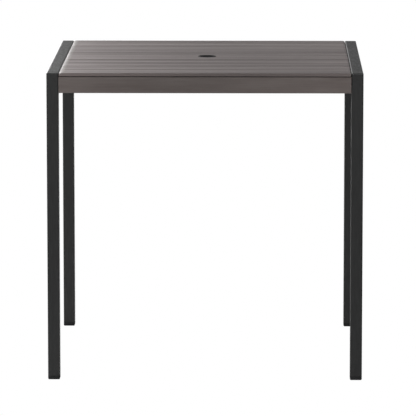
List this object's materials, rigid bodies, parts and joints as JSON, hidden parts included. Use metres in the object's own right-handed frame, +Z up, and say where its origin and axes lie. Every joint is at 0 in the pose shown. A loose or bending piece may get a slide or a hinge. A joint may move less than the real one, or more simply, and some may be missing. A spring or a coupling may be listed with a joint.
{
  "type": "outdoor dining table",
  "caption": "Square outdoor dining table with mitred tube side frames, a slatted moulded-board top with front and back aprons, and an umbrella hole.",
  "frame": {"origin": "on the floor under the middle of the table, below the umbrella hole", "axes": "+Z up, +Y towards the back apron, +X towards the right side frame; the boards run along X"},
  "size_m": [0.762, 0.762, 0.7498],
  "materials": {
    "frame_powder_coat": "fine satin powder coat, charcoal",
    "under_frame_coat": "matt powder coat, charcoal",
    "top_board": "brushed wood grain, grey taupe",
    "apron_board": "brushed wood grain, grey taupe",
    "black_moulding": "moulded, matt black",
    "zinc_fastener": "zinc plated"
  },
  "bodies": {
    "root": {"front_left_leg": "frame_powder_coat", "front_right_leg": "frame_powder_coat", "back_left_leg": "frame_powder_coat", "back_right_leg": "frame_powder_coat", "front_left_foot_cap": "black_moulding", "front_right_foot_cap": "black_moulding", "back_left_foot_cap": "black_moulding", "back_right_foot_cap": "black_moulding", "left_side_rail": "frame_powder_coat", "right_side_rail": "frame_powder_coat", "left_slat_ledge": "under_frame_coat", "right_slat_ledge": "under_frame_coat", "left_support_channel": "under_frame_coat", "right_support_channel": "under_frame_coat", "left_frame_bolts": "zinc_fastener", "right_frame_bolts": "zinc_fastener", "left_bolt_washers": "zinc_fastener", "right_bolt_washers": "zinc_fastener", "left_weld_nuts": "zinc_fastener", "right_weld_nuts": "zinc_fastener", "front_cross_rail": "under_frame_coat", "back_cross_rail": "under_frame_coat", "front_apron": "apron_board", "back_apron": "apron_board", "front_apron_screws": "zinc_fastener", "back_apron_screws": "zinc_fastener", "top_slat_1": "top_board", "top_slat_2": "top_board", "top_slat_3": "top_board", "top_slat_4": "top_board", "top_slat_5": "top_board", "slat_screws": "zinc_fastener", "umbrella_ring": "black_moulding", "umbrella_ring_nut": "black_moulding"}
  },
  "joints": []
}
